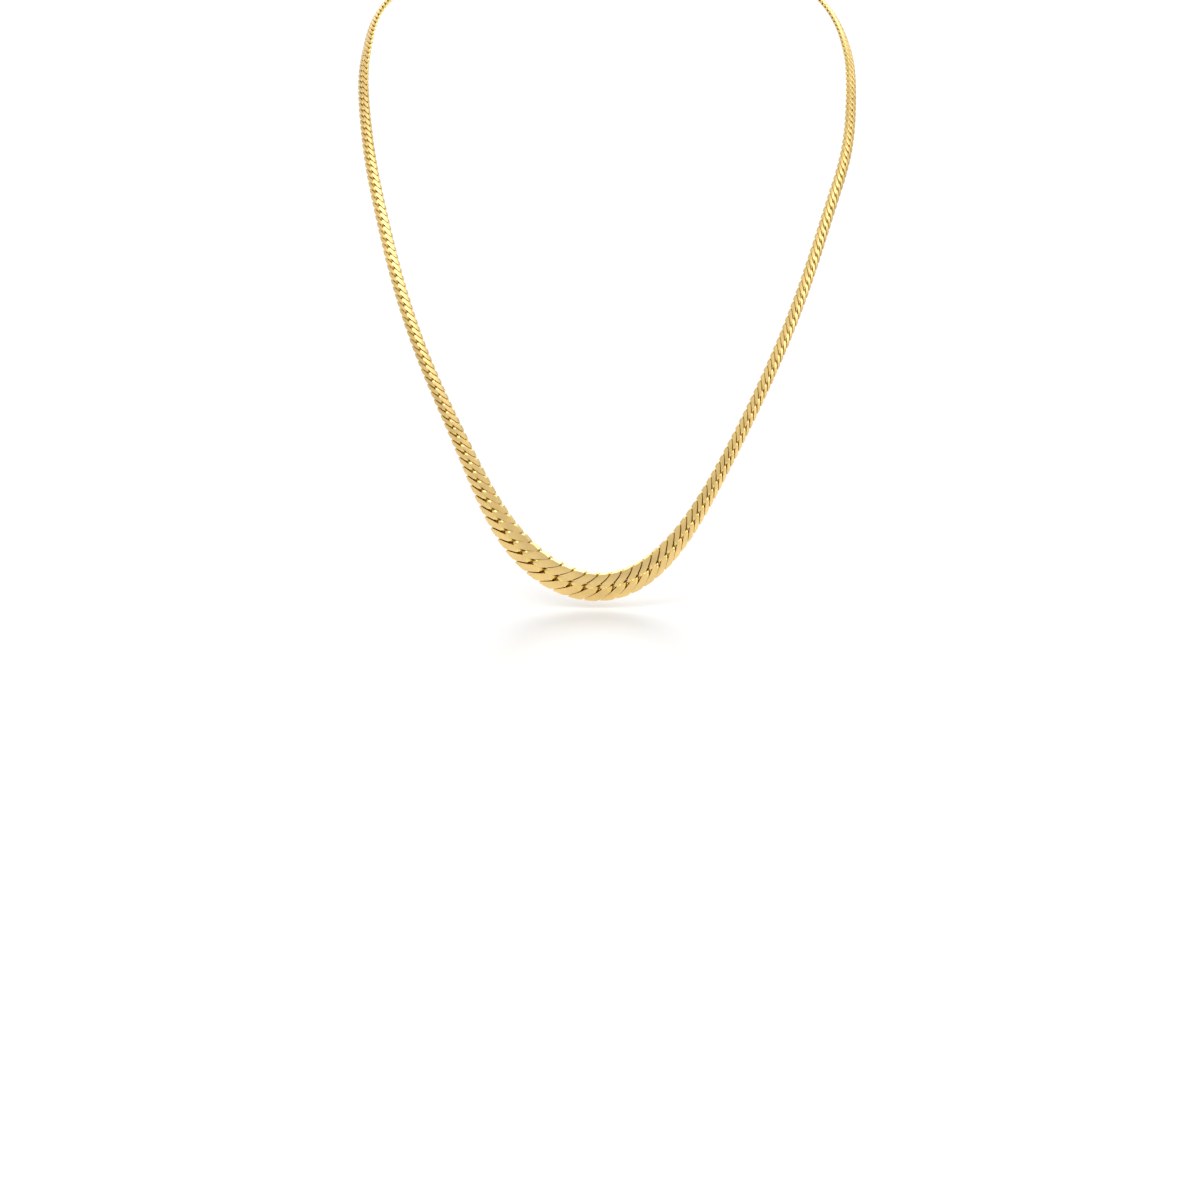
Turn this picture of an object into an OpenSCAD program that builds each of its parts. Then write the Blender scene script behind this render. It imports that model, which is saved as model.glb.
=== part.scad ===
// Graduated flat curb chain necklace, called a herringbone chain, in the form it has when worn.
// Every link passes through the two links before it and the two after it, and all are pressed flat.
// Millimetres. The origin is the middle of the neck where the chain lies on the neck's sides,
// the front of the wearer faces -Y and +Z is up.

/* [Band] */
// Width of the band at its widest link
centre_w = 6.4; // [5.8:0.1:7.2]
// Width of the band where the long sides begin
side_w = 3.1; // [2.8:0.1:3.5]
// Width of the band at the clasp
end_w = 2; // [1.9:0.05:2.3]
// Thickness of the band at its widest link
centre_t = 2.6; // [2.2:0.1:2.8]
// Thickness of the band where the long sides begin
side_t = 1.45; // [1.3:0.05:1.6]
// Thickness of the band at the clasp
end_t = 1.15; // [1.05:0.05:1.25]
// Step from link to link at the widest link
centre_pitch = 3.1; // [2.85:0.05:3.3]
// Step from link to link where the long sides begin
side_pitch = 1.95; // [1.85:0.05:2.2]
// Step from link to link at the clasp
end_pitch = 1.4; // [1.35:0.05:1.6]
// Distance from the widest link over which the band narrows to its sides
narrowing = 28; // [24:1:34]
// How far along the band the widest link hangs to the left of the lowest point
widest_left = 8; // [5:0.5:10]

/* [Links] */
// Number of links on each side of the widest one that are separate solids
solid_links = 73; // [60:1:75]
// Share of the room between two lobes that the flattened wire fills
lobe_fill = 0.88; // [0.8:0.01:0.9]
// Share of the thickness by which the faces fall away towards the edges
crown = 0.4; // [0.3:0.05:0.55]

/* [End caps] */
// Length of the cap that holds the last link
cap_l = 3; // [2.5:0.1:4]
// Width that the cap has beyond the band, on each side
cap_rim = 0.3; // [0.2:0.05:0.5]
// Radius of the eye on the cap, at the middle of its wire
eye_r = 1; // [0.95:0.05:1.2]
// Diameter of the eye's wire
eye_wire = 0.8; // [0.7:0.05:0.85]

/* [Clasp] */
// Radius of a jump ring, at the middle of its wire
ring_r = 2.5; // [2.4:0.05:2.8]
// Diameter of the jump ring's wire
ring_wire = 0.8; // [0.7:0.05:0.85]
// Distance between the clasp's tail hole and the middle of its head
clasp_l = 7; // [6.5:0.1:9]
// Radius of the clasp's round head
head_r = 3; // [2.8:0.1:3.6]
// Radius of the clasp's tail
tail_r = 1.5; // [1.4:0.05:1.8]
// Width of the metal round the clasp's opening
clasp_rim = 1.1; // [1:0.05:1.2]
// Thickness of the clasp
clasp_t = 1.2; // [1:0.05:1.25]

/* [Fit] */
// Clearance between pieces that meet end to end
end_gap = 0.14; // [0.12:0.01:0.2]
// Clearance between a ring's wire and the hole or wall that it passes
ring_gap = 0.35; // [0.35:0.05:0.45]

/* [Hidden] */
gold = "#dcae52";

// The route of the band's middle, from the nape down the left side, round the front and up the
// right side. Columns: x, y, z, then the way the face looks, in degrees: turn from the front
// towards +X, and lean upwards. The first and last rows carry the curve across the nape.
ROUTE = [
    [19.5, 53, 26.5, -205, 10],
    [0, 56, 27.5, -180, 10],
    [-19.5, 53, 26.5, -155, 20],
    [-36, 44.5, 23, -125, 35],
    [-52.5, 24, 16, -90, 45],
    [-54, 8.5, 7, -70, 36],
    [-55, 1, 1.5, -50, 34],
    [-53, -13, -12.5, -34, 34],
    [-50.6, -21.5, -22, -28, 30],
    [-45.7, -33.5, -39.6, -22, 26],
    [-39.7, -42, -55.1, -21, 19],
    [-31.7, -49.5, -70.6, -21, 11],
    [-23, -56, -89, -22, 1],
    [-12.4, -59.5, -98.3, -16, -7],
    [-1.5, -60.5, -101, 0, -8],
    [8, -59.5, -98, 9, -3],
    [17.4, -56, -89, 18, 3],
    [27.8, -49.4, -70.7, 26, 10],
    [36, -41.8, -55.3, 29, 17],
    [43, -33.3, -39.8, 31, 23],
    [49.3, -21.4, -22.2, 34, 26],
    [53.5, -13, -12.5, 38, 31],
    [54.5, 1, 1.5, 49, 35],
    [54, 8.5, 7, 69, 38],
    [50.5, 24, 16, 90, 45],
    [36.5, 44.5, 23, 125, 35],
    [19.5, 53, 26.5, 155, 20],
    [0, 56, 27.5, 180, 10],
    [-19.5, 53, 26.5, 205, 10]
];
// Row of the route's lowest point
lowest_row = 14;
// Points that are worked out between two rows of the route
route_steps = 16;

// A quarter of a link, from its end to its edge. Columns: share of the reach along the band,
// share of the half width across it, share of the layer's height, share of the wire's full width
// and how far the flat face looks along and across the band.
LINK_QUARTER = [
    [1, 0, 0, 1, 1, 0],
    [0.914, 0.249, 1, 0.8, 0.76, 0],
    [0.12, 1.006, 0.95, 1, 0, 0.34]
];
// Reach of a link from its middle, in steps: it overlaps two links each way
link_reach = 1.25;
// Width and thickness of the wire at a link's two ends, in steps
end_wire = [0.286, 0.42];
// Clearance between the front and the back layer, in steps
layer_gap = 0.095;
// Half section of the wire: a flat outer face, two sides and a keel, as shares
WIRE_SECTION = [[-0.78, 1], [0.78, 1], [1, -0.1], [0, -1], [-1, -0.1]];
// Distance between two rings of the plain band, in its own widths
band_step = 1.1;
// Share of the radii of the clasp's head and tail that the taper between them reaches
taper_share = 0.94;
round_sides = 48;

function unit(v) = v / norm(v);
function point(row) = [row[0], row[1], row[2]];

// Route as a smooth curve through fine steps, with the distance along it and its frames
function spline(i, t) = (pow(1 - t, 3) * ROUTE[i - 1] + (3 * pow(t, 3) - 6 * t * t + 4) * ROUTE[i]
    + (3 * t * t + 3 * t + 1 - 3 * pow(t, 3)) * ROUTE[i + 1] + pow(t, 3) * ROUTE[i + 2]) / 6;
last_row = len(ROUTE) - 3;
path = [for (i = [1:last_row], k = [0:route_steps - 1]) spline(i, k / route_steps),
        spline(last_row, 1)];
path_end = len(path) - 1;
along = [for (i = 0, d = 0; i <= path_end; i = i + 1,
         d = i <= path_end ? d + norm(point(path[i]) - point(path[i - 1])) : d) d];
loop_l = along[path_end];
function heading(i) = unit(point(path[i == path_end ? 1 : i + 1])
                           - point(path[i == 0 ? path_end - 1 : i - 1]));
function looks(row) = [sin(row[3]) * cos(row[4]), -cos(row[3]) * cos(row[4]), sin(row[4])];
frames = [for (i = [0:path_end])
    let (t = heading(i), f = looks(path[i]), n = unit(f - t * (f * t)))
    concat(point(path[i]), cross(n, t), n)];
columns = [for (c = [0:8]) [for (i = [0:path_end]) [along[i], frames[i][c]]]];
widest_at = along[(lowest_row - 1) * route_steps] - widest_left;
function on_loop(s) = let (r = widest_at + s) r - loop_l * floor(r / loop_l);
function triple(r, c) = [lookup(r, columns[c]), lookup(r, columns[c + 1]), lookup(r, columns[c + 2])];
// Point of the band: s along it from the widest link, y towards its inner edge, z out of its face
function on_band(s, y, z) = let (r = on_loop(s)) triple(r, 0) + y * triple(r, 3) + z * triple(r, 6);

// Sizes along the band
eye_out = end_gap + cap_l + eye_r;
head_wall_out = ring_wire / 2 + ring_gap + clasp_rim;
nape_l = 2 * (eye_out + 2 * ring_r) + clasp_l + head_r - head_wall_out;
chain_half = (loop_l - nape_l) / 2;
function graded(s, centre, side, end) =
    let (base = side + (end - side) * min(1, abs(s) / chain_half))
    base + (centre - base) * exp(-pow(s / narrowing, 2));
function width(s) = graded(s, centre_w, side_w, end_w);
function thickness(s) = graded(s, centre_t, side_t, end_t);
function pitch(s) = graded(s, centre_pitch, side_pitch, end_pitch);
link_at = [for (i = 0, s = 0; i <= solid_links; i = i + 1, s = s + pitch(s + pitch(s) / 2)) s];

// One link: stations round it, each with its middle, the way its flat face looks and half sizes
function mirrored(q, mx, my) = [mx * q[0], my * q[1], -mx * my * q[2], q[3], mx * q[4], my * q[5]];
link_shares = let (e = LINK_QUARTER[0], r = LINK_QUARTER[1], t = LINK_QUARTER[2])
    [mirrored(e, 1, 1), mirrored(r, 1, 1), mirrored(t, 1, 1), mirrored(t, -1, 1), mirrored(r, -1, 1),
     mirrored(e, -1, 1), mirrored(r, -1, -1), mirrored(t, -1, -1), mirrored(t, 1, -1),
     mirrored(r, 1, -1)];
stations = len(link_shares);
corners = len(WIRE_SECTION);

function link_points(s) =
    let (p = pitch(s), w = width(s), t = thickness(s), gap = layer_gap * p,
         reach = link_reach * p, wire_t = (t - gap) / 4, layer = (t + gap) / 4,
         half_w = w / 2 - 0.9 * wire_t,
         lobe = (LINK_QUARTER[2] - LINK_QUARTER[1]),
         slant = atan2(lobe[1] * half_w, -lobe[0] * reach),
         wire_w = p * sin(slant) * lobe_fill / 2,
         middle = [for (q = link_shares) [q[0] * reach, q[1] * half_w, q[2] * layer]])
    [for (i = [0:stations - 1])
        let (q = link_shares[i],
             dir = unit(middle[(i + 1) % stations] - middle[(i + stations - 1) % stations]),
             at_end = q[2] == 0,
             side_look = [q[4], q[5], at_end ? 0 : sign(q[2])],
             n = unit(side_look - dir * (side_look * dir)),
             b = cross(dir, n),
             hw = at_end ? end_wire[0] * p / 2 : wire_w * q[3],
             ht = at_end ? end_wire[1] * p / 2 : wire_t)
        for (c = WIRE_SECTION)
            let (v = middle[i] + b * c[0] * hw + n * c[1] * ht,
                 fall = 1 - crown * pow(2 * v[1] / w, 2))
            on_band(s + v[0], v[1], v[2] * fall)];

function link_faces(first) = [for (i = [0:stations - 1], c = [0:corners - 1])
    let (j = (i + 1) % stations, d = (c + 1) % corners)
    each [[first + i * corners + c, first + j * corners + c, first + j * corners + d],
          [first + i * corners + c, first + j * corners + d, first + i * corners + d]]];

module links(places) {
    points = [for (s = places) each link_points(s)];
    faces = [for (k = [0:len(places) - 1]) each link_faces(k * stations * corners)];
    color(gold) polyhedron(points, faces, convexity = 10);
}

// The finest stretch as one plain band of the same outer form
last_link = link_at[solid_links];
band_start = last_link + (link_reach + end_wire[1] / 2) * pitch(last_link) + end_gap;
function band_ring(s) =
    let (w = width(s) / 2, t = thickness(s) / 2, edge = t * (1 - crown), mid = t * (1 - crown / 4))
    [for (q = [[1, edge], [0.5, mid], [-0.5, mid], [-1, edge],
               [-1, -edge], [-0.5, -mid], [0.5, -mid], [1, -edge]])
        on_band(s, q[0] * w, q[1])];

module band(side) {
    span = chain_half - band_start;
    rings = ceil(span / (band_step * width(chain_half)));
    sides = len(band_ring(0));
    stops = [for (k = [0:rings]) side * (band_start + span * k / rings)];
    ordered = side > 0 ? stops : [for (k = [rings:-1:0]) stops[k]];
    points = [for (s = ordered) each band_ring(s)];
    walls = [for (k = [0:rings - 1], c = [0:sides - 1])
        let (d = (c + 1) % sides)
        each [[k * sides + c, (k + 1) * sides + c, (k + 1) * sides + d],
              [k * sides + c, (k + 1) * sides + d, k * sides + d]]];
    first_end = [for (c = [0:sides - 1]) c];
    last_end = [for (c = [sides - 1:-1:0]) rings * sides + c];
    color(gold) polyhedron(points, concat(walls, [first_end, last_end]), convexity = 4);
}

// Puts a rigid piece on the line between two points of the route, with its origin midway:
// x along it, y towards the inner edge, z out of the face
module on_route(from, to) {
    start = on_band(from, 0, 0);
    end = on_band(to, 0, 0);
    t = unit(end - start);
    look = triple(on_loop((from + to) / 2), 6);
    n = unit(look - t * (t * look));
    v = cross(n, t);
    p = (start + end) / 2;
    multmatrix([[t[0], v[0], n[0], p[0]], [t[1], v[1], n[1], p[1]], [t[2], v[2], n[2], p[2]]])
        children();
}

module wire_ring(mean_r, wire) {
    rotate_extrude($fn = round_sides) translate([mean_r, 0]) circle(d = wire, $fn = 24);
}

// side is -1 on the left and 1 on the right: pieces are drawn from the band towards the clasp
module end_cap(side) {
    cap_w = end_w + 2 * cap_rim;
    cap_t = end_t + 2 * cap_rim;
    start = chain_half + end_gap;
    color(gold) on_route(side * start, side * (start + cap_l)) {
        cube([cap_l, cap_w, cap_t], center = true);
        translate([cap_l / 2 + eye_r, 0, 0]) wire_ring(eye_r, eye_wire);
    }
}

module jump_ring(side) {
    start = chain_half + eye_out;
    color(gold) on_route(side * start, side * (start + 2 * ring_r))
        rotate([90, 0, 0]) wire_ring(ring_r, ring_wire);
}

module disc(r, thick) {
    cylinder(r = r, h = thick, center = true, $fn = round_sides);
}

// Plain closed clasp: a round head with an opening, tapering to a tail with a hole
module clasp() {
    tail_at = chain_half + eye_out + 2 * ring_r;
    half_head = taper_share * head_r;
    half_tail = taper_share * tail_r;
    taper = [[0, half_head], [0, -half_head], [-clasp_l, -half_tail], [-clasp_l, half_tail]];
    color(gold) on_route(tail_at, tail_at + clasp_l) translate([clasp_l / 2, 0, 0]) difference() {
        union() {
            disc(head_r, clasp_t);
            translate([-clasp_l, 0, 0]) disc(tail_r, clasp_t);
            linear_extrude(clasp_t, center = true) polygon(taper);
        }
        disc(head_r - clasp_rim, 2 * clasp_t);
        translate([-clasp_l, 0, 0]) disc(ring_wire / 2 + ring_gap, 2 * clasp_t);
    }
}

links([for (i = [solid_links:-1:1]) -link_at[i]]);  // links_left
links([for (i = [0:solid_links]) link_at[i]]);  // links_right
band(-1);  // band_left
band(1);  // band_right
end_cap(-1);  // end_cap_left
end_cap(1);  // end_cap_right
jump_ring(-1);  // ring_left
jump_ring(1);  // ring_right
clasp();
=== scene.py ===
"""Graduated flat curb necklace: detailed links, caps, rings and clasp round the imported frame."""
import math
import random

import bmesh
import bpy
import numpy as np
from mathutils import Matrix, Vector


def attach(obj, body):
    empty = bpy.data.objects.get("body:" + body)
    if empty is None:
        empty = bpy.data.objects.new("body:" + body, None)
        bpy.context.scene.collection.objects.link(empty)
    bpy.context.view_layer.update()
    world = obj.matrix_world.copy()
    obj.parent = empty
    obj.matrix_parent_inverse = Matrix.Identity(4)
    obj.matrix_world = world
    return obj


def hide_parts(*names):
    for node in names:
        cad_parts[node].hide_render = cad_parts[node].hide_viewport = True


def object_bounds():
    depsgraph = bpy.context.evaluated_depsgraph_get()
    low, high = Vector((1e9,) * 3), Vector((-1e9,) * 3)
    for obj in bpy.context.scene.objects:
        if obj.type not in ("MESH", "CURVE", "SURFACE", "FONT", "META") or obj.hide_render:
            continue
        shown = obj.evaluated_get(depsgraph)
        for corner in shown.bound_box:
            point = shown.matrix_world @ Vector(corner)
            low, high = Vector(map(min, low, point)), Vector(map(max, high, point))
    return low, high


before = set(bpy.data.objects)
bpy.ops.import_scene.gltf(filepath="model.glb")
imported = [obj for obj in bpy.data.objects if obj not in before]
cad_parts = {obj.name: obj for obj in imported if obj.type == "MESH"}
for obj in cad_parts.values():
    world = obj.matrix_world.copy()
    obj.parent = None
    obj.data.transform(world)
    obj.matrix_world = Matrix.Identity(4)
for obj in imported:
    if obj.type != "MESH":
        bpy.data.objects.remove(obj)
cad_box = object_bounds()

MM = 0.001

# Sizes of the band, in millimetres: at the widest link, where the long sides begin, at the clasp
WIDTHS = (6.4, 3.1, 2.0)
THICKNESSES = (2.6, 1.45, 1.15)
PITCHES = (3.1, 1.95, 1.4)
NARROWING = 28.0
WIDEST_LEFT = 8.0
SOLID_LINKS = 73
CROWN = 0.4
LINK_REACH = 1.37

# The lobes, graded in the same way: their slant in degrees, how far the pressed wire stands above
# the band's face before it is filed, the power of its section (1 is round, 0 square), and the
# share that it fills of its room between two lobes
SLANTS = (38.0, 30.0, 29.0)
LIFTS = (1.27, 1.17, 1.17)
SQUARENESS = (0.42, 0.58, 0.62)
LOBE_FILLS = (0.98, 0.9, 0.88)

# A lobe runs from its root near the band's middle to its tip at the band's edge. Shares of the
# reach along, of the half width across and of the wire's full width
ROOT_ALONG, ROOT_ACROSS, ROOT_WIRE = 0.85, 0.12, 0.85
TIP_ACROSS, TIP_WIRE = 1.45, 1.05
# How far the wire's face leans along the band at the root, and across it at the tip
ROOT_LOOK, TIP_LOOK = 0.34, 0.08
# Shares of the lobe from its root, between which the wire has its full width
FULL_FROM, FULL_TO = 0.14, 0.8
# Width and thickness of the wire at a link's two ends, as shares of the pitch
END_WIRE = (0.34, 0.6)
# Shares of the half width between which a lobe's sections turn along the band, where the wire
# heads outwards at least this much
CUT_FROM, CUT_TO = 0.4, 1.0
LEAST_OUTWARD = 0.01
# The wire is squarer at the band's edges: from which share of the half width, and by how much
SQUARER_FROM, SQUARER = 0.55, 0.6
# Share of the half width from which the band's edges are pressed flat
EDGE_FROM = 0.97
# How far the wire's middle stays inside the band's edge, as a share of its half thickness
EDGE_INSET = 0.9
# Gap between a link's two layers, as a share of the pitch
LAYER_GAP = 0.1
# Least half angle of the filed face in the wire's section, and the deepest share that is filed off
LEAST_FACET = 0.12
DEEPEST_CUT = 0.9
# Rounds of corner cutting, and what a bend counts against a length where stations are spread
ROUNDS = 4
BEND_SHARE = 0.35
# A face below this share of the band's height, and inside this share of its half width, lies deep in
# a gap and gets painted shade
GAP_DEPTH, GAP_EDGE = 0.84, 0.88
# Largest seeded tilt of a link's filed face, along and across the band
TILTS = (0.06, 0.08)
# Stations round a link and sides of its wire, for the wide links and for the finest
WIDE_DETAIL = (80, 16)
FINE_DETAIL = (64, 12)

# End caps, jump rings and clasp
END_GAP = 0.14
CAP_L = 3.0
CAP_RIM = 0.3
EYE_R = 1.0
EYE_WIRE = 0.8
RING_R = 2.5
RING_WIRE = 0.8
CLASP_L = 7.0
HEAD_R = 3.0
TAIL_R = 1.5
CLASP_RIM = 1.1
CLASP_T = 1.2
RING_GAP = 0.35
TAPER_SHARE = 0.94
CLASP_EDGE = 0.28
CLASP_BEVEL_STEPS = 5
# Points on the clasp's head, tail, opening and hole
CLASP_STEPS = (64, 32, 56, 40)
# Points of the clasp closer than this, in millimetres, are one
WELD = 0.001
# Thickness of a jump ring where its two ends meet
SEAM_SHARE = 0.86
# Share of the cap's length that the last link reaches into it
INSIDE_CAP = 0.65
CAP_CORNER = 0.42
CAP_SIDES = 10
# Sections of the cap from the bottom of its mouth over the lip to its closed end: share of the
# length from the mouth, and share of the width and thickness
CAP_SECTIONS = ((0.30, 0.62), (0.30, 0.78), (0.03, 0.80), (0.0, 0.84), (0.0, 0.93), (0.02, 0.985),
                (0.05, 1.0), (0.13, 1.0), (0.16, 0.96), (0.19, 0.95), (0.22, 0.96), (0.25, 1.0),
                (0.80, 1.0), (0.88, 0.97), (0.94, 0.90), (0.98, 0.78), (1.0, 0.60), (1.0, 0.2))

# Route of the band's middle: x, y, z, then turn from the front towards +X and lean upwards
ROUTE = np.array([
    (19.5, 53, 26.5, -205, 10),
    (0, 56, 27.5, -180, 10),
    (-19.5, 53, 26.5, -155, 20),
    (-36, 44.5, 23, -125, 35),
    (-52.5, 24, 16, -90, 45),
    (-54, 8.5, 7, -70, 36),
    (-55, 1, 1.5, -50, 34),
    (-53, -13, -12.5, -34, 34),
    (-50.6, -21.5, -22, -28, 30),
    (-45.7, -33.5, -39.6, -22, 26),
    (-39.7, -42, -55.1, -21, 19),
    (-31.7, -49.5, -70.6, -21, 11),
    (-23, -56, -89, -22, 1),
    (-12.4, -59.5, -98.3, -16, -7),
    (-1.5, -60.5, -101, 0, -8),
    (8, -59.5, -98, 9, -3),
    (17.4, -56, -89, 18, 3),
    (27.8, -49.4, -70.7, 26, 10),
    (36, -41.8, -55.3, 29, 17),
    (43, -33.3, -39.8, 31, 23),
    (49.3, -21.4, -22.2, 34, 26),
    (53.5, -13, -12.5, 38, 31),
    (54.5, 1, 1.5, 49, 35),
    (54, 8.5, 7, 69, 38),
    (50.5, 24, 16, 90, 45),
    (36.5, 44.5, 23, 125, 35),
    (19.5, 53, 26.5, 155, 20),
    (0, 56, 27.5, 180, 10),
    (-19.5, 53, 26.5, 205, 10),
], float)
LOWEST_ROW = 14
ROUTE_STEPS = 16


def unit(v):
    return v / np.linalg.norm(v, axis=-1, keepdims=True)


class Route:
    """The route as a closed cubic B-spline, with the distance along it and its frames."""

    def __init__(self):
        t = (np.arange(ROUTE_STEPS) / ROUTE_STEPS)[:, None]
        parts = []
        last = len(ROUTE) - 3
        for i in range(1, last + 1):
            a, b, c, d = ROUTE[i - 1:i + 3]
            parts.append(((1 - t) ** 3 * a + (3 * t ** 3 - 6 * t ** 2 + 4) * b
                          + (3 * t ** 2 + 3 * t + 1 - 3 * t ** 3) * c + t ** 3 * d) / 6)
        path = np.vstack(parts)
        points = path[:, :3]
        tangent = unit(np.roll(points, -1, axis=0) - np.roll(points, 1, axis=0))
        turn = np.radians(path[:, 3])
        lean = np.radians(path[:, 4])
        look = np.stack([np.sin(turn) * np.cos(lean), -np.cos(turn) * np.cos(lean), np.sin(lean)], 1)
        out = unit(look - tangent * (look * tangent).sum(1, keepdims=True))
        across = np.cross(out, tangent)
        steps = np.linalg.norm(np.roll(points, -1, axis=0) - points, axis=1)
        along = np.concatenate([[0], np.cumsum(steps)])
        self.length = along[-1]
        self.along = along
        table = np.hstack([points, across, out])
        self.table = np.vstack([table, table[:1]])
        self.widest_at = along[(LOWEST_ROW - 1) * ROUTE_STEPS] - WIDEST_LEFT

    def rows(self, s):
        at = (self.widest_at + np.asarray(s)) % self.length
        return np.stack([np.interp(at, self.along, self.table[:, c]) for c in range(9)], -1)

    def place(self, s, local):
        """Points given as along, across and out from the place s, bent with the band."""
        r = self.rows(s + local[..., 0])
        return r[..., 0:3] + local[..., 1:2] * r[..., 3:6] + local[..., 2:3] * r[..., 6:9]


route = Route()
eye_out = END_GAP + CAP_L + EYE_R
head_wall_out = RING_WIRE / 2 + RING_GAP + CLASP_RIM
nape_l = 2 * (eye_out + 2 * RING_R) + CLASP_L + HEAD_R - head_wall_out
chain_half = (route.length - nape_l) / 2


def graded(s, sizes):
    centre, side, end = sizes
    base = side + (end - side) * min(1, abs(s) / chain_half)
    return base + (centre - base) * math.exp(-(s / NARROWING) ** 2)


def link_places():
    """Distances of the links from the widest one on one side, up to the end cap."""
    places = [0.0]
    while places[-1] < chain_half + CAP_L:
        s = places[-1]
        places.append(s + graded(s + graded(s, PITCHES) / 2, PITCHES))
    return places


def link_rows(tip_along):
    """Control rows round a link: along, across, layer, look (3), wire width, end share."""
    end, root, tip = range(3)

    def row(kind, mx, my):
        z = -mx * my
        if kind == end:
            return (mx, 0, 0, mx, 0, 0, 0, 1)
        if kind == root:
            return (mx * ROOT_ALONG, my * ROOT_ACROSS, z, mx * ROOT_LOOK, 0, z, ROOT_WIRE, 0)
        return (mx * tip_along, my * TIP_ACROSS, z, 0, my * TIP_LOOK, z, TIP_WIRE, 0)

    order = ((end, 1, 1), (root, 1, 1), (tip, 1, 1), (tip, -1, 1), (root, -1, 1),
             (end, -1, 1), (root, -1, -1), (tip, -1, -1), (tip, 1, -1), (root, 1, -1))
    rows = [np.array(row(*o), float) for o in order]
    outward = (FULL_FROM, 0.5, FULL_TO)
    inward = (1 - FULL_TO, 0.5, 1 - FULL_FROM)
    full = []
    for i, (kind, mx, _) in enumerate(order):
        a, b = rows[i], rows[(i + 1) % len(rows)]
        full.append(a.copy())
        if kind == tip:
            # The lobe's last part heads straight for the edge
            full[-1][0] = mx * (tip_along + (1 - FULL_TO) * (ROOT_ALONG - tip_along))
        same_layer = a[2] * b[2] > 0.5
        if same_layer:
            for share in outward if kind == root else inward:
                between = (1 - share) * a + share * b
                between[3:5] = 0
                between[6] = 1
                full.append(between)
    return np.array(full)


def cut_corners(rows):
    """The closed polygon of rows with every corner cut off at a quarter of its sides."""
    following = np.roll(rows, -1, axis=0)
    out = np.empty((2 * len(rows), rows.shape[1]))
    out[0::2] = 0.75 * rows + 0.25 * following
    out[1::2] = 0.25 * rows + 0.75 * following
    return out


def spread_evenly(rows, size, stations):
    """The rows at even steps of length and bend round the link, whose size scales the first three."""
    middle = rows[:, :3] * size
    step = np.roll(middle, -1, axis=0) - middle
    heading = unit(step)
    bend = np.arccos(np.clip((heading * np.roll(heading, 1, axis=0)).sum(1), -1, 1))
    bend = (bend + np.roll(bend, -1)) / 2
    work = np.linalg.norm(step, axis=1) / size[0] + BEND_SHARE * bend
    done = np.concatenate([[0], np.cumsum(work)])
    closed = np.vstack([rows, rows[:1]])
    at = np.arange(stations) / stations * done[-1]
    return np.stack([np.interp(at, done, closed[:, c]) for c in range(rows.shape[1])], -1)


def press_edges(across, half_w):
    """Distances across the band, pressed smoothly into its half width."""
    free = EDGE_FROM * half_w
    room = half_w - free
    over = np.maximum(np.abs(across) - free, 0)
    return np.sign(across) * (np.minimum(np.abs(across), free) + room * (1 - np.exp(-over / room)))


def cut_along(side, tangent, across, slant):
    """What turns the wire's sections along the band near the lobes' tips, so they end in line."""
    outward = np.abs(tangent[:, 1])
    limit = 1 / math.tan(slant)
    heads_out = outward > LEAST_OUTWARD
    shift = np.clip(-side[:, 1] / np.where(heads_out, tangent[:, 1], 1), -limit, limit)
    near = np.clip((across - CUT_FROM) / (CUT_TO - CUT_FROM), 0, 1)
    near = near * np.clip(outward / math.sin(slant), 0, 1) ** 2
    return (near * shift)[:, None] * tangent


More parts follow.
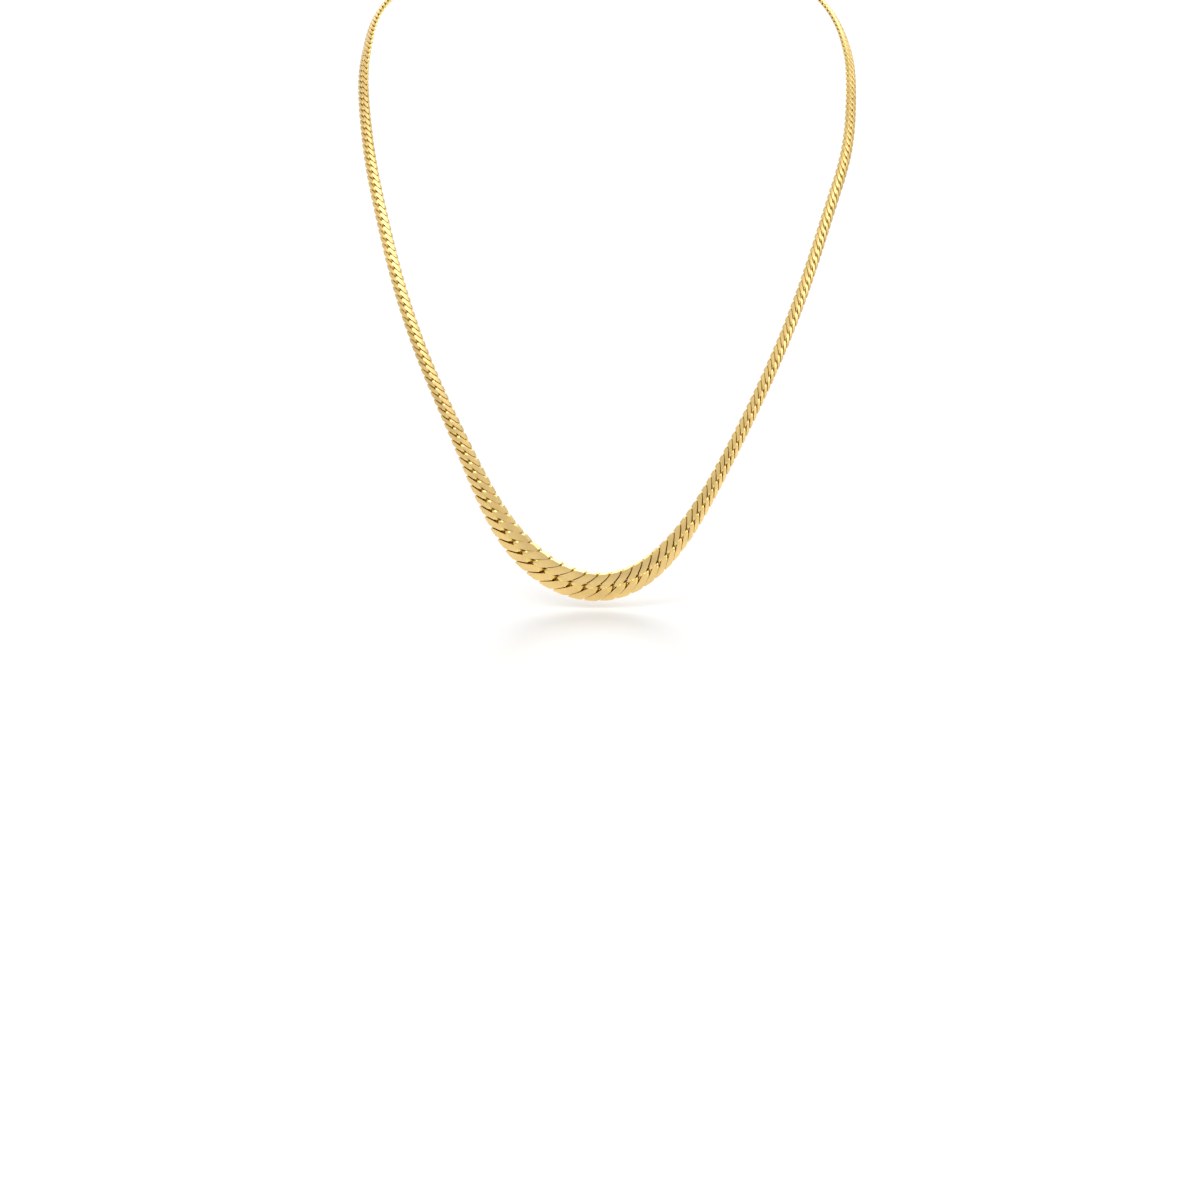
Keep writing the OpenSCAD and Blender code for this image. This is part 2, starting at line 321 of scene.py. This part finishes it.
def link_form(s, stations, sides, tilt):
    """One link's points (stations, sides, 3), and which stations have a filed face."""
    p, w, t = graded(s, PITCHES), graded(s, WIDTHS), graded(s, THICKNESSES)
    gap = LAYER_GAP * p
    reach, wire_t, layer = LINK_REACH * p, (t - gap) / 4, (t + gap) / 4
    half_w = w / 2 - EDGE_INSET * wire_t
    slant = math.radians(graded(s, SLANTS))
    wire_w = p * math.sin(slant) * graded(s, LOBE_FILLS) / 2
    lobe_run = (TIP_ACROSS - ROOT_ACROSS) * half_w / (math.tan(slant) * reach)
    rows = link_rows(ROOT_ALONG - lobe_run)
    for _ in range(ROUNDS):
        rows = cut_corners(rows)
    size = np.array([reach, half_w, layer])
    rows = spread_evenly(rows, size, stations)
    middle = rows[:, :3] * size
    tangent = unit(np.roll(middle, -1, axis=0) - np.roll(middle, 1, axis=0))
    look = rows[:, 3:6]
    up = unit(look - tangent * (look * tangent).sum(1, keepdims=True))
    side = np.cross(tangent, up)
    side = side + cut_along(side, tangent, np.abs(middle[:, 1]) / half_w, slant)
    at_edge = np.clip((np.abs(middle[:, 1]) / half_w - SQUARER_FROM) / (1 - SQUARER_FROM), 0, 1)
    square = graded(s, SQUARENESS) * (1 - SQUARER * at_edge)
    end = rows[:, 7]
    half_width = (1 - end) * wire_w * rows[:, 6] + end * END_WIRE[0] * p / 2
    half_thick = (1 - end) * wire_t * graded(s, LIFTS) + end * END_WIRE[1] * p / 2
    rise = half_thick * np.abs(up[:, 2])
    crest = np.abs(middle[:, 2]) + rise
    cut = np.clip((crest - t / 2) / rise, 0, DEEPEST_CUT)
    edge = np.arccos(np.clip((1 - cut) ** (1 / square), 0, 1))
    filed = edge > LEAST_FACET
    edge = np.maximum(edge, LEAST_FACET)
    rest = np.arange(1, sides - 2) / (sides - 2)
    angle = np.concatenate([np.stack([-edge, 0 * edge, edge], 1),
                            edge[:, None] + rest * (2 * math.pi - 2 * edge[:, None])], 1)
    u = np.sign(np.sin(angle)) * np.abs(np.sin(angle)) ** square[:, None]
    v = np.sign(np.cos(angle)) * np.abs(np.cos(angle)) ** square[:, None]
    form = (middle[:, None] + side[:, None] * (u * half_width[:, None])[..., None]
            + up[:, None] * (v * half_thick[:, None])[..., None])
    form[..., 1] = press_edges(form[..., 1], w / 2)
    top = t / 2 * (1 + tilt[0] * form[..., 0] / reach + tilt[1] * form[..., 1] / w)
    form[..., 2] = np.clip(form[..., 2], -top, top)
    form[..., 2] *= 1 - CROWN * (2 * form[..., 1] / w) ** 2
    return form, filed


def faces_for_painted_shade(s, form):
    """Which faces of a link lie deep between the links and away from the band's edges: these get a
    darker gold as painted shade.
    """
    w, t = graded(s, WIDTHS), graded(s, THICKNESSES)
    ahead = np.roll(form, -1, axis=0)
    middle = (form + ahead + np.roll(form, -1, axis=1) + np.roll(ahead, -1, axis=1)) / 4
    across = np.abs(middle[..., 1]) * 2 / w
    top = t / 2 * (1 - CROWN * across ** 2)
    return (np.abs(middle[..., 2]) < GAP_DEPTH * top) & (across < GAP_EDGE)


# Material slots of the chain pieces: wire, filed face, and a darker gold of painted shade on the
# faces deep in the gaps
WIRE, FACE, GAP = range(3)


def links_piece(name, places, detail, seed):
    """A row of separate links as one mesh: wire, filed faces and gap walls have a material each; the
    gap walls' darker gold is painted shade.
    """
    n, sides = detail
    rng = random.Random(seed)
    i, c = np.meshgrid(np.arange(n), np.arange(sides), indexing="ij")
    j, d = (i + 1) % n, (c + 1) % sides
    quads = np.stack([i * sides + c, i * sides + d, j * sides + d, j * sides + c], -1).reshape(-1, 4)
    verts, faces, slots, sharp = [], [], [], []
    for k, s in enumerate(places):
        tilt = [rng.uniform(-most, most) for most in TILTS]
        form, filed = link_form(s, n, sides, tilt)
        first = k * n * sides
        verts.append(route.place(s, form).reshape(-1, 3))
        faces.append(quads + first)
        both = filed & np.roll(filed, -1)
        # Faces deep in the gaps take the slot of painted shade
        slot = np.where(faces_for_painted_shade(s, form), GAP, WIRE)
        slot[both, 0:2] = FACE
        slots.append(slot.reshape(-1))
        at = np.nonzero(both)[0]
        for column in (0, 2):
            pair = np.stack([first + at * sides + column, first + (at + 1) % n * sides + column], 1)
            sharp.append(pair)
    verts = np.vstack(verts) * MM
    faces = np.vstack(faces)
    mesh = bpy.data.meshes.new(name)
    mesh.from_pydata(verts.tolist(), [], faces.tolist())
    mesh.polygons.foreach_set("material_index", np.concatenate(slots))
    mesh.polygons.foreach_set("use_smooth", np.ones(len(faces), bool))
    edges = np.empty(2 * len(mesh.edges), int)
    mesh.edges.foreach_get("vertices", edges)
    edges = np.sort(edges.reshape(-1, 2), 1)
    wanted = np.sort(np.vstack(sharp), 1)
    size = len(verts)
    marked = np.isin(edges[:, 0] * size + edges[:, 1], wanted[:, 0] * size + wanted[:, 1])
    mesh.attributes.new("sharp_edge", "BOOLEAN", "EDGE").data.foreach_set("value", marked)
    mesh.update()
    piece = bpy.data.objects.new(name, mesh)
    bpy.context.collection.objects.link(piece)
    return piece


def on_route(start, end):
    """Matrix of a rigid piece on the line between two places, in metres, with its origin midway."""
    a, b = route.rows(start), route.rows(end)
    x = unit(b[:3] - a[:3])
    out = route.rows((start + end) / 2)[6:9]
    z = unit(out - x * (out @ x))
    y = np.cross(z, x)
    m = np.eye(4)
    m[:3, 0], m[:3, 1], m[:3, 2] = x, y, z
    m[:3, 3] = (a[:3] + b[:3]) / 2 * MM
    return m


def mesh_piece(name, verts, faces, matrix):
    """A smooth piece from points in millimetres in the matrix's own frame."""
    points = np.asarray(verts, float) * MM
    points = points @ matrix[:3, :3].T + matrix[:3, 3]
    mesh = bpy.data.meshes.new(name)
    mesh.from_pydata(points.tolist(), [], faces)
    mesh.polygons.foreach_set("use_smooth", np.ones(len(faces), bool))
    mesh.update()
    piece = bpy.data.objects.new(name, mesh)
    bpy.context.collection.objects.link(piece)
    return piece


def torus(radius, wire, rings=72, sides=20, seam=None):
    """Points and faces of a wire ring about Z; seam is the angle of its closed joint."""
    verts, faces = [], []
    half_step = math.pi / rings
    for i in range(rings):
        a = 2 * math.pi * i / rings
        r = wire / 2
        if seam is not None and abs(a - seam) < half_step:
            r *= SEAM_SHARE
        for k in range(sides):
            b = 2 * math.pi * k / sides
            ring = radius + r * math.cos(b)
            verts.append((ring * math.cos(a), ring * math.sin(a), r * math.sin(b)))
            faces.append((i * sides + k, (i + 1) % rings * sides + k,
                          (i + 1) % rings * sides + (k + 1) % sides, i * sides + (k + 1) % sides))
    return verts, faces


def cap_section(half_w, half_t, corner):
    """Rounded rectangle, counter-clockwise, with the same corner count at every size."""
    points = []
    for cx, cy, start in ((1, 1, 0), (-1, 1, 90), (-1, -1, 180), (1, -1, 270)):
        for k in range(CAP_SIDES + 1):
            a = math.radians(start + 90 * k / CAP_SIDES)
            points.append((cx * (half_w - corner) + corner * math.cos(a),
                           cy * (half_t - corner) + corner * math.sin(a)))
    return points


def end_cap(name, side):
    start = side * (chain_half + END_GAP)
    half_w = WIDTHS[2] / 2 + CAP_RIM
    half_t = THICKNESSES[2] / 2 + CAP_RIM
    verts, faces = [], []
    for at, share in CAP_SECTIONS:
        x = (at - 0.5) * CAP_L
        corner = CAP_CORNER * share
        verts += [(x, y, z) for y, z in cap_section(half_w * share, half_t * share, corner)]
    n = 4 * (CAP_SIDES + 1)
    for i in range(len(CAP_SECTIONS) - 1):
        for k in range(n):
            j = (k + 1) % n
            faces.append((i * n + k, i * n + j, (i + 1) * n + j, (i + 1) * n + k))
    faces.append(tuple(range(n - 1, -1, -1)))
    faces.append(tuple(range(len(verts) - n, len(verts))))
    eye_verts, eye_faces = torus(EYE_R, EYE_WIRE)
    base = len(verts)
    verts += [(x + CAP_L / 2 + EYE_R, y, z) for x, y, z in eye_verts]
    faces += [tuple(base + v for v in f) for f in eye_faces]
    return mesh_piece(name, verts, faces, on_route(start, start + side * CAP_L))


def jump_ring(name, side):
    start = side * (chain_half + eye_out)
    verts, faces = torus(RING_R, RING_WIRE, rings=96, sides=24, seam=math.pi / 2)
    turned = [(x, -z, y) for x, y, z in verts]
    return mesh_piece(name, turned, faces, on_route(start, start + side * 2 * RING_R))


def arc(cx, r, a0, a1, steps):
    """Points on a circle about (cx, 0) from the angle a0 to a1."""
    angles = [a0 + (a1 - a0) * k / steps for k in range(steps + 1)]
    return [(cx + r * math.cos(a), r * math.sin(a)) for a in angles]


def clasp(name):
    """The clasp's outline with its two openings, raised and rounded along every edge."""
    tail_at = chain_half + eye_out + 2 * RING_R
    head_steps, tail_steps, opening_steps, hole_steps = CLASP_STEPS
    lean = math.acos((HEAD_R - TAIL_R) / CLASP_L * TAPER_SHARE)
    outer = arc(0, HEAD_R, -(math.pi - lean), math.pi - lean, head_steps)
    outer += arc(-CLASP_L, TAIL_R, math.pi - lean, math.pi + lean, tail_steps)
    opening = arc(0, HEAD_R - CLASP_RIM, 0, -2 * math.pi, opening_steps)[:-1]
    hole = arc(-CLASP_L, RING_WIRE / 2 + RING_GAP, 0, -2 * math.pi, hole_steps)[:-1]
    curve = bpy.data.curves.new(name + "_outline", "CURVE")
    curve.dimensions = "2D"
    curve.fill_mode = "BOTH"
    for loop in (outer, opening, hole):
        spline = curve.splines.new("POLY")
        spline.points.add(len(loop) - 1)
        for point, (x, y) in zip(spline.points, loop):
            point.co = (x * MM, y * MM, 0, 1)
        spline.use_cyclic_u = True
    curve.extrude = (CLASP_T / 2 - CLASP_EDGE) * MM
    curve.bevel_depth = CLASP_EDGE * MM
    curve.bevel_resolution = CLASP_BEVEL_STEPS
    curve.offset = -CLASP_EDGE * MM
    holder = bpy.data.objects.new(name + "_outline", curve)
    bpy.context.collection.objects.link(holder)
    shaped = holder.evaluated_get(bpy.context.evaluated_depsgraph_get())
    mesh = bpy.data.meshes.new_from_object(shaped)
    bpy.data.objects.remove(holder)
    matrix = on_route(tail_at, tail_at + CLASP_L)
    shift = np.eye(4)
    shift[0, 3] = CLASP_L / 2 * MM
    mesh.transform(Matrix((matrix @ shift).tolist()))
    mesh.name = name
    welded = bmesh.new()
    welded.from_mesh(mesh)
    bmesh.ops.remove_doubles(welded, verts=welded.verts, dist=WELD * MM)
    welded.to_mesh(mesh)
    welded.free()
    piece = bpy.data.objects.new(name, mesh)
    bpy.context.collection.objects.link(piece)
    return piece


# Materials

# Clouds in the colour and the gloss, and fine marks in the surface: scale and detail of their noise
CLOUDS = (420, 3)
MARKS = (9000, 2)
MARK_DEPTH = 0.00002
# Between which values of the clouds the colour changes, and its shares at both ends
TONE_FROM, TONE_TO = 0.3, 0.7
TONES = (0.93, 1.05)


def gold(name, colour, roughness, spread, bump):
    """Gold plate: a little uneven in colour and gloss, with fine polishing marks in its surface."""
    mat = bpy.data.materials.new(name)
    mat.use_nodes = True
    nodes, join = mat.node_tree.nodes, mat.node_tree.links.new
    shader = nodes["Principled BSDF"]
    shader.inputs["Metallic"].default_value = 1.0
    where = nodes.new("ShaderNodeTexCoord").outputs["Object"]

    def noise(scale, detail):
        node = nodes.new("ShaderNodeTexNoise")
        node.inputs["Scale"].default_value = scale
        node.inputs["Detail"].default_value = detail
        join(where, node.inputs["Vector"])
        return node.outputs["Fac"]

    clouds = noise(*CLOUDS)
    tone = nodes.new("ShaderNodeValToRGB")
    for stop, position, share in zip(tone.color_ramp.elements, (TONE_FROM, TONE_TO), TONES):
        stop.position = position
        stop.color = (*[min(1, c * share) for c in colour], 1)
    join(clouds, tone.inputs["Fac"])
    join(tone.outputs["Color"], shader.inputs["Base Color"])
    gloss = nodes.new("ShaderNodeMapRange")
    gloss.inputs["To Min"].default_value = roughness - spread
    gloss.inputs["To Max"].default_value = roughness + spread
    join(clouds, gloss.inputs["Value"])
    join(gloss.outputs["Result"], shader.inputs["Roughness"])
    relief = nodes.new("ShaderNodeBump")
    relief.inputs["Strength"].default_value = bump
    relief.inputs["Distance"].default_value = MARK_DEPTH
    join(noise(*MARKS), relief.inputs["Height"])
    join(relief.outputs["Normal"], shader.inputs["Normal"])
    return mat


wire_gold = gold("polished_gold", (0.92, 0.69, 0.24), roughness=0.14, spread=0.04, bump=0.1)
face_gold = gold("satin_gold", (0.89, 0.64, 0.262), roughness=0.3, spread=0.05, bump=0.35)
# Painted shade: a darker gold on the faces deep in the gaps, standing in for the shade that falls
# between the links
gap_shade_gold = gold("painted_shade_gold", (0.66, 0.44, 0.12), roughness=0.3, spread=0.05, bump=0.1)
clasp_gold = gold("clasp_gold", (0.90, 0.67, 0.27), roughness=0.18, spread=0.05, bump=0.05)

# The chain, which ends inside the caps

link_at = link_places()
solid_at = link_at[:SOLID_LINKS + 1]
last = solid_at[-1]
end_at = chain_half + END_GAP + INSIDE_CAP * CAP_L - LINK_REACH * PITCHES[2]
fine_at = [s for s in link_at[SOLID_LINKS + 1:] if s < end_at + PITCHES[2] / 2]
stretch = (end_at - last) / (fine_at[-1] - last)
fine_at = [last + (s - last) * stretch for s in fine_at]
chains = [
    (links_piece("chain_left", [-s for s in solid_at[:0:-1]], WIDE_DETAIL, 11), "links_left"),
    (links_piece("chain_right", solid_at, WIDE_DETAIL, 12), "links_right"),
    (links_piece("fine_chain_left", [-s for s in fine_at[::-1]], FINE_DETAIL, 13), "band_left"),
    (links_piece("fine_chain_right", fine_at, FINE_DETAIL, 14), "band_right"),
]
for piece, node in chains:
    for material in (wire_gold, face_gold, gap_shade_gold):
        piece.data.materials.append(material)
fittings = [
    (end_cap("cap_left", -1), "end_cap_left"),
    (end_cap("cap_right", 1), "end_cap_right"),
    (jump_ring("jump_ring_left", -1), "ring_left"),
    (jump_ring("jump_ring_right", 1), "ring_right"),
    (clasp("plain_clasp"), "clasp"),
]
for piece, node in fittings:
    piece.data.materials.clear()
    piece.data.materials.append(clasp_gold)
for piece, node in chains + fittings:
    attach(piece, "root")
    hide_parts(node)

# Floor, light and camera, in metres

FLOOR_SIZE = 12
FLOOR_BACK = 3
FLOOR_DROP = 0.0015
lowest = cad_box[0][2]
bpy.ops.mesh.primitive_plane_add(size=FLOOR_SIZE, location=(0, FLOOR_BACK, lowest - FLOOR_DROP))
floor = bpy.context.object
floor.name = "floor"
pale = bpy.data.materials.new("pale_floor")
pale.use_nodes = True
pale.node_tree.nodes["Principled BSDF"].inputs["Base Color"].default_value = (0.9, 0.9, 0.9, 1)
pale.node_tree.nodes["Principled BSDF"].inputs["Roughness"].default_value = 0.35
floor.data.materials.append(pale)

# The white surroundings grow stronger upwards, and a flag shades them above and behind: height or
# nearness to the flag's direction, and strength, at both ends of a smooth step
SKY_LOW, SKY_HIGH = (-0.05, 0.62), (0.5, 0.88)
FLAG_TOWARD = (0.1, 0.45, 0.85)
FLAG_OUTSIDE, FLAG_INSIDE = (0.88, 1.0), (0.95, 0.2)


def smooth_step(nodes, low, high):
    step = nodes.new("ShaderNodeMapRange")
    step.interpolation_type = "SMOOTHSTEP"
    step.inputs["From Min"].default_value, step.inputs["To Min"].default_value = low
    step.inputs["From Max"].default_value, step.inputs["To Max"].default_value = high
    return step


def studio_world():
    """Plain white light from all round, weaker near the horizon and inside the flag."""
    world = bpy.data.worlds.new("studio")
    bpy.context.scene.world = world
    world.use_nodes = True
    nodes, join = world.node_tree.nodes, world.node_tree.links.new
    background = nodes["Background"]
    background.inputs["Color"].default_value = (1, 1, 1, 1)
    direction = nodes.new("ShaderNodeTexCoord").outputs["Generated"]
    parts = nodes.new("ShaderNodeSeparateXYZ")
    height = smooth_step(nodes, SKY_LOW, SKY_HIGH)
    toward = nodes.new("ShaderNodeVectorMath")
    toward.operation = "DOT_PRODUCT"
    toward.inputs[1].default_value = Vector(FLAG_TOWARD).normalized()
    flag = smooth_step(nodes, FLAG_OUTSIDE, FLAG_INSIDE)
    both = nodes.new("ShaderNodeMath")
    both.operation = "MULTIPLY"
    join(direction, parts.inputs["Vector"])
    join(parts.outputs["Z"], height.inputs["Value"])
    join(direction, toward.inputs[0])
    join(toward.outputs["Value"], flag.inputs["Value"])
    join(height.outputs["Result"], both.inputs[0])
    join(flag.outputs["Result"], both.inputs[1])
    join(both.outputs["Value"], background.inputs["Strength"])


studio_world()
bpy.context.scene.view_settings.view_transform = "Standard"

# Softboxes: where each stands, what it is aimed at, width and height, and power in watts
CENTRE = (0, -0.02, -0.04)
SOFTBOXES = (
    ("key", (-0.5, -0.5, 0.7), CENTRE, (0.6, 0.6), 2.4),
    ("fill", (0.7, -0.3, 0.3), CENTRE, (0.3, 0.6), 1.2),
    ("back", (0.1, 0.7, 0.5), CENTRE, (0.8, 0.3), 1.5),
    ("ground", (0, 1.3, 0.5), (0, 1.2, lowest), (1.6, 0.6), 4),
)
for name, at, aim, size, power in SOFTBOXES:
    light = bpy.data.lights.new(name, "AREA")
    light.shape = "RECTANGLE"
    light.size, light.size_y = size
    light.energy = power
    holder = bpy.data.objects.new(name, light)
    holder.location = at
    holder.rotation_euler = (Vector(aim) - Vector(at)).to_track_quat("-Z", "Y").to_euler()
    bpy.context.collection.objects.link(holder)

CAMERA_AT = (-0.001718, -0.881037, 0.116889)
CAMERA_TILT = 75
CAMERA_LENS = 118.5
camera_data = bpy.data.cameras.new("camera")
camera = bpy.data.objects.new("camera", camera_data)
bpy.context.collection.objects.link(camera)
camera.location = CAMERA_AT
camera.rotation_euler = (math.radians(CAMERA_TILT), 0, 0)
camera_data.sensor_width = 36
camera_data.lens = CAMERA_LENS
camera_data.clip_start = 0.01
bpy.context.scene.camera = camera
